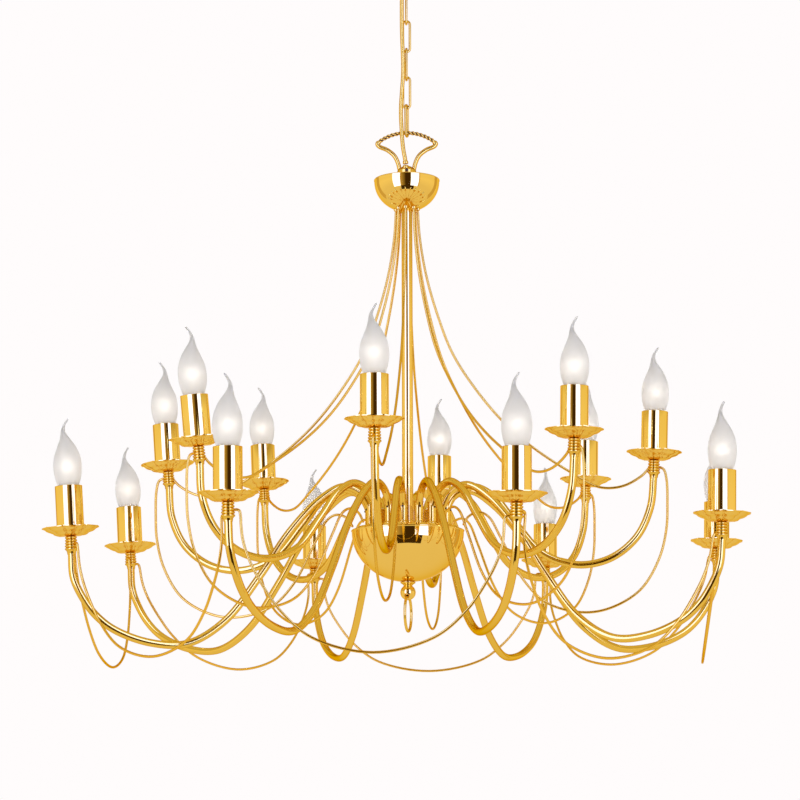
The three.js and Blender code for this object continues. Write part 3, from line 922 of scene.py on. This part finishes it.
def mark_tip(mesh):
    """Stores how far each point is towards the drawn-out tip, where the glass is thick."""
    first, last = (SLEEVE_TOP + TIP_START) * MM, (SLEEVE_TOP + TIP_END) * MM
    shares = [min(max((v.co.z - first) / (last - first), 0), 1) for v in mesh.vertices]
    mesh.attributes.new("tip", "FLOAT", "POINT").data.foreach_set("value", shares)


def cap_shape():
    """The bulb's brass screw cap: a rounded thread over a narrow foot."""
    turns, samples = 6, 6
    pitch, depth = 2.8, 0.35
    outline = [(0, CAP_FOOT - 0.2), (2.6, CAP_FOOT), (3.4, CAP_FOOT + 1.4),
               (5.8, CAP_FOOT + 2.6)]
    for k in range(turns * samples):
        swing = math.cos(2 * math.pi * k / samples)
        outline.append((CAP_R - 0.75 - depth * swing, CAP_FOOT + 3.4 + pitch * k / samples))
    outline += [(CAP_R - 0.2, HOLDER_TOP - 0.5), (CAP_R - 0.2, HOLDER_TOP + 1.4),
                (0, HOLDER_TOP + 1.4)]
    return lathe(outline, 40)


def glow_shape():
    """The bright core of the bulb."""
    middle, half, radius = SLEEVE_TOP + 25, 6, 5
    outline = arc(radius, half, middle, -90, 90, 20)
    outline[0], outline[-1] = (0, middle - half), (0, middle + half)
    return lathe(outline, 32)


def foot_shape():
    """The ferrule on the bowl, into which an arm's tube is plugged."""
    grip, flange_r = TUBE_R + 0.05, 7.4
    return lathe(softened([
        (grip, FOOT_Z), (flange_r, FOOT_Z), (flange_r, FOOT_Z + 1.6),
        (FERRULE_R, FOOT_Z + 3.2),
        (FERRULE_R, FERRULE_TOP - 1.6), (FERRULE_R + 0.5, FERRULE_TOP - 1),
        (FERRULE_R + 0.5, FERRULE_TOP), (grip, FERRULE_TOP), (grip, FOOT_Z)], 0.4), 36)


def screw_shape():
    """The small clamping screw on a ferrule's outer side."""
    head_r = 1.3
    head = lathe(softened([(0, -2), (head_r, -2), (head_r, 0.9), (0, 1.2)], 0.3), 20)
    return moved(head, shifted(FERRULE_R, 0, FERRULE_TOP - 7) @ turned(90, "Y"))


def light_meshes():
    """The meshes that all the lights share."""
    glass = mesh_of("bulb_glass", glass_shape(), 60)
    mark_tip(glass)
    return {
        "collar": mesh_of("ringed_collar", collar_shape(), 60),
        "saucer": mesh_of("petal_saucer", saucer_shape(), 50),
        "sleeve": mesh_of("candle_sleeve", sleeve_shape()),
        "holder": mesh_of("lampholder", holder_shape()),
        "glass": glass,
        "cap": mesh_of("bulb_cap", cap_shape(), 60),
        "glow": mesh_of("bulb_glow", glow_shape()),
        "ferrule": mesh_of("ferrule", foot_shape()),
        "screw": mesh_of("foot_screw", screw_shape()),
    }


def place_arm(light, code, meshes):
    foot = light.spoke @ shifted(FOOT_R, 0, 0)
    place(f"tube_{code}", bar(light.tube_line(), TUBE_R, 24), TUBE_GOLD, "chandelier",
          light.spoke, f"{light.tier}_arm_{light.number}")
    place(f"ferrule_{code}", meshes["ferrule"], TUBE_GOLD, "chandelier", foot)
    place(f"foot_screw_{code}", meshes["screw"], DARK_BRONZE_AND_GROOVE_SHADE, "chandelier", foot)
    place(f"collar_{code}", meshes["collar"], TUBE_GOLD, "chandelier", light.stand)


def place_candle(light, code, meshes):
    place(f"saucer_{code}", meshes["saucer"], CAST_GOLD, "chandelier", light.stand)
    place(f"sleeve_{code}", meshes["sleeve"], MIRROR_GOLD, "chandelier", light.stand,
          f"{light.tier}_candle_{light.number}")
    place(f"holder_{code}", meshes["holder"], PORCELAIN, "chandelier", light.stand)


def place_bulb(light, code, meshes):
    body = f"{light.tier}_bulb_{light.number}"
    tipped = light.stand @ Matrix.Rotation(light.tip_turn(), 4, "Z")
    place(f"glass_{code}", meshes["glass"], GLASS, body, tipped, body)
    place(f"cap_{code}", meshes["cap"], CAST_GOLD, body, tipped)
    place(f"glow_{code}", meshes["glow"], GLOW, body, tipped)


def place_wires(light, following):
    """An upper light's tie and scroll, or the festoon from a lower light to the next."""
    if light.tier == "upper":
        for kind, wire in (("tie", TIE_WIRE), ("scroll", SCROLL_WIRE)):
            line = smooth_line(light.bent(wire), 8)
            place(f"{kind}_{light.number}", round_ended(line, WIRE_R, 12), WIRE_GOLD,
                  "chandelier", light.spoke)
    else:
        line = swag_line(light, following)
        place(f"swag_{light.number}", round_ended(line, WIRE_R, 12), WIRE_GOLD, "chandelier")


def make_lights():
    meshes = light_meshes()
    for tier in ("upper", "lower"):
        lights = [Light(tier, n + 1) for n in range(LIGHTS_PER_TIER)]
        for light, following in zip(lights, lights[1:] + lights[:1]):
            code = f"{tier}_{light.number}"
            place_arm(light, code, meshes)
            place_candle(light, code, meshes)
            place_bulb(light, code, meshes)
            place_wires(light, following)


make_lights()


# ---- studio: floor, cards, soft surroundings -----------------------------------------

FLOOR_Z, FLOOR_HALF = -2.5, 9       # in metres, like all of the studio
CARD_R = 1.35                       # the cards stand on a circle about the stem
CARD_LOW, CARD_HIGH = -1.16, 0.6
BASE_CARD_LOW = CARD_LOW - 0.6
SURROUND = (0.95, 0.95, 0.95)       # what lights the matt pieces and the glass
BACKDROP = (1, 0.973, 0.973)        # what the camera sees behind everything


def make_floor():
    mesh = bpy.data.meshes.new("studio_floor")
    corners = [(x * FLOOR_HALF, y * FLOOR_HALF, FLOOR_Z)
               for x, y in ((-1, -1), (1, -1), (1, 1), (-1, 1))]
    mesh.from_pydata(corners, [], [(0, 1, 2, 3)])
    floor = linked("studio_floor", mesh)
    material, tree, shader = blank_material("pale_floor")
    colour_between(tree, noise_ramp(tree, 2, 3, 0, 1), (0.86, 0.855, 0.85),
                   (0.9, 0.895, 0.89), shader.inputs["Base Color"])
    shader.inputs["Roughness"].default_value = 0.7
    mesh.materials.append(material)
    floor.visible_glossy = False    # the gold mirrors the room instead


def card_material():
    """Light of the colour that each card stores at its points."""
    material = bpy.data.materials.new("card_light")
    material.use_nodes = True
    tree = material.node_tree
    tree.nodes.remove(tree.nodes["Principled BSDF"])
    light = tree.nodes.new("ShaderNodeEmission")
    colour = tree.nodes.new("ShaderNodeAttribute")
    colour.attribute_name = "light"
    tree.links.new(colour.outputs["Color"], light.inputs["Color"])
    tree.links.new(light.outputs["Emission"], tree.nodes["Material Output"].inputs["Surface"])
    material.cycles.emission_sampling = "NONE"
    return material


WHITE = (1.7, 2.1, 6.3)             # bluish, so that it comes back white from the gold
BROWN = (0.6, 0.4, 0.14)
DIM = (0.1, 0.055, 0.012)
BLACK = (0.05, 0.024, 0.004)
SHADE = (0.66, 0.46, 0.2)


def make_card(name, material, bearings, heights, first, last):
    """A curved card that only reflections see. Its colour runs from `first` at one
    bearing, in degrees round from the front, to `last` at the other."""
    steps = 16
    points, faces, colours = [], [], []
    for i in range(steps + 1):
        share = i / steps
        a = math.radians(bearings[0] + (bearings[1] - bearings[0]) * share)
        mixed = [p + (q - p) * share for p, q in zip(first, last)]
        for z in heights:
            points.append((CARD_R * math.sin(a), -CARD_R * math.cos(a), z))
            colours += [*mixed, 1]
    for i in range(steps):
        faces.append((2 * i, 2 * i + 2, 2 * i + 3, 2 * i + 1))
    mesh = bpy.data.meshes.new(name)
    mesh.from_pydata(points, [], faces)
    mesh.attributes.new("light", "FLOAT_COLOR", "POINT").data.foreach_set("color", colours)
    mesh.materials.append(material)
    card = linked(name, mesh)
    card.visible_camera = False
    card.visible_diffuse = False
    card.visible_transmission = False
    card.visible_shadow = False


def make_cards():
    tall = (CARD_LOW, CARD_HIGH)
    low = (BASE_CARD_LOW, CARD_LOW)
    material = card_material()
    for name, bearings, heights, first, last in (
            ("card_white_left", (-51, -24), tall, WHITE, WHITE),
            ("card_brown_left", (-24, -5), tall, BROWN, DIM),
            ("card_dark", (-5, 14), tall, BLACK, BLACK),
            ("card_white_right", (15, 43), tall, WHITE, WHITE),
            ("card_brown_right", (43, 47), tall, BROWN, BROWN),
            ("card_base", (-24, 30), low, BLACK, BLACK),
            ("card_side_left", (-132, -114), tall, SHADE, SHADE),
            ("card_side_right", (114, 132), tall, SHADE, SHADE)):
        make_card(name, material, bearings, heights, first, last)


ROOM = (                            # what the gold reflects, from the floor to the ceiling
    (0, (0.84, 0.68, 0.41)),
    (0.3, (0.85, 0.69, 0.42)),
    (0.5, (0.98, 0.8, 0.47)),
    (0.62, (0.92, 0.75, 0.4)),
    (0.7, (0.46, 0.34, 0.12)),
    (0.76, (0.87, 0.72, 0.38)),
    (0.84, (0.46, 0.34, 0.12)),
    (0.91, (0.8, 0.64, 0.3)),
    (1, (0.68, 0.52, 0.22)),
)


def make_world():
    """Plain soft light: near white to the camera and the glass, a warm room in the gold."""
    world = bpy.data.worlds.new("studio")
    SCENE.world = world
    world.use_nodes = True
    tree = world.node_tree
    back = tree.nodes["Background"]
    path = tree.nodes.new("ShaderNodeLightPath")
    where = tree.nodes.new("ShaderNodeTexCoord")
    split = tree.nodes.new("ShaderNodeSeparateXYZ")
    tree.links.new(where.outputs["Generated"], split.inputs["Vector"])
    height = tree.nodes.new("ShaderNodeMapRange")
    height.inputs["From Min"].default_value = -1
    tree.links.new(split.outputs["Z"], height.inputs["Value"])
    room = tree.nodes.new("ShaderNodeValToRGB")
    while len(room.color_ramp.elements) < len(ROOM):
        room.color_ramp.elements.new(0.5)
    for stop, (at, colour) in zip(room.color_ramp.elements, ROOM):
        stop.position = at
        stop.color = (*colour, 1)
    tree.links.new(height.outputs["Result"], room.inputs["Fac"])
    mirrored = tree.nodes.new("ShaderNodeMath")
    mirrored.operation = "SUBTRACT"
    mirrored.use_clamp = True
    tree.links.new(path.outputs["Is Glossy Ray"], mirrored.inputs[0])
    tree.links.new(path.outputs["Is Transmission Ray"], mirrored.inputs[1])
    lit = tree.nodes.new("ShaderNodeMix")
    seen = tree.nodes.new("ShaderNodeMix")
    for mix in (lit, seen):
        mix.data_type = "RGBA"
    lit.inputs["A"].default_value = (*SURROUND, 1)
    tree.links.new(room.outputs["Color"], lit.inputs["B"])
    tree.links.new(mirrored.outputs["Value"], lit.inputs["Factor"])
    tree.links.new(lit.outputs["Result"], seen.inputs["A"])
    seen.inputs["B"].default_value = (*BACKDROP, 1)
    tree.links.new(path.outputs["Is Camera Ray"], seen.inputs["Factor"])
    tree.links.new(seen.outputs["Result"], back.inputs["Color"])
    world.cycles.sampling_method = "NONE"


make_floor()
make_cards()
make_world()
SCENE.view_settings.view_transform = "Standard"
SCENE.view_settings.look = "None"
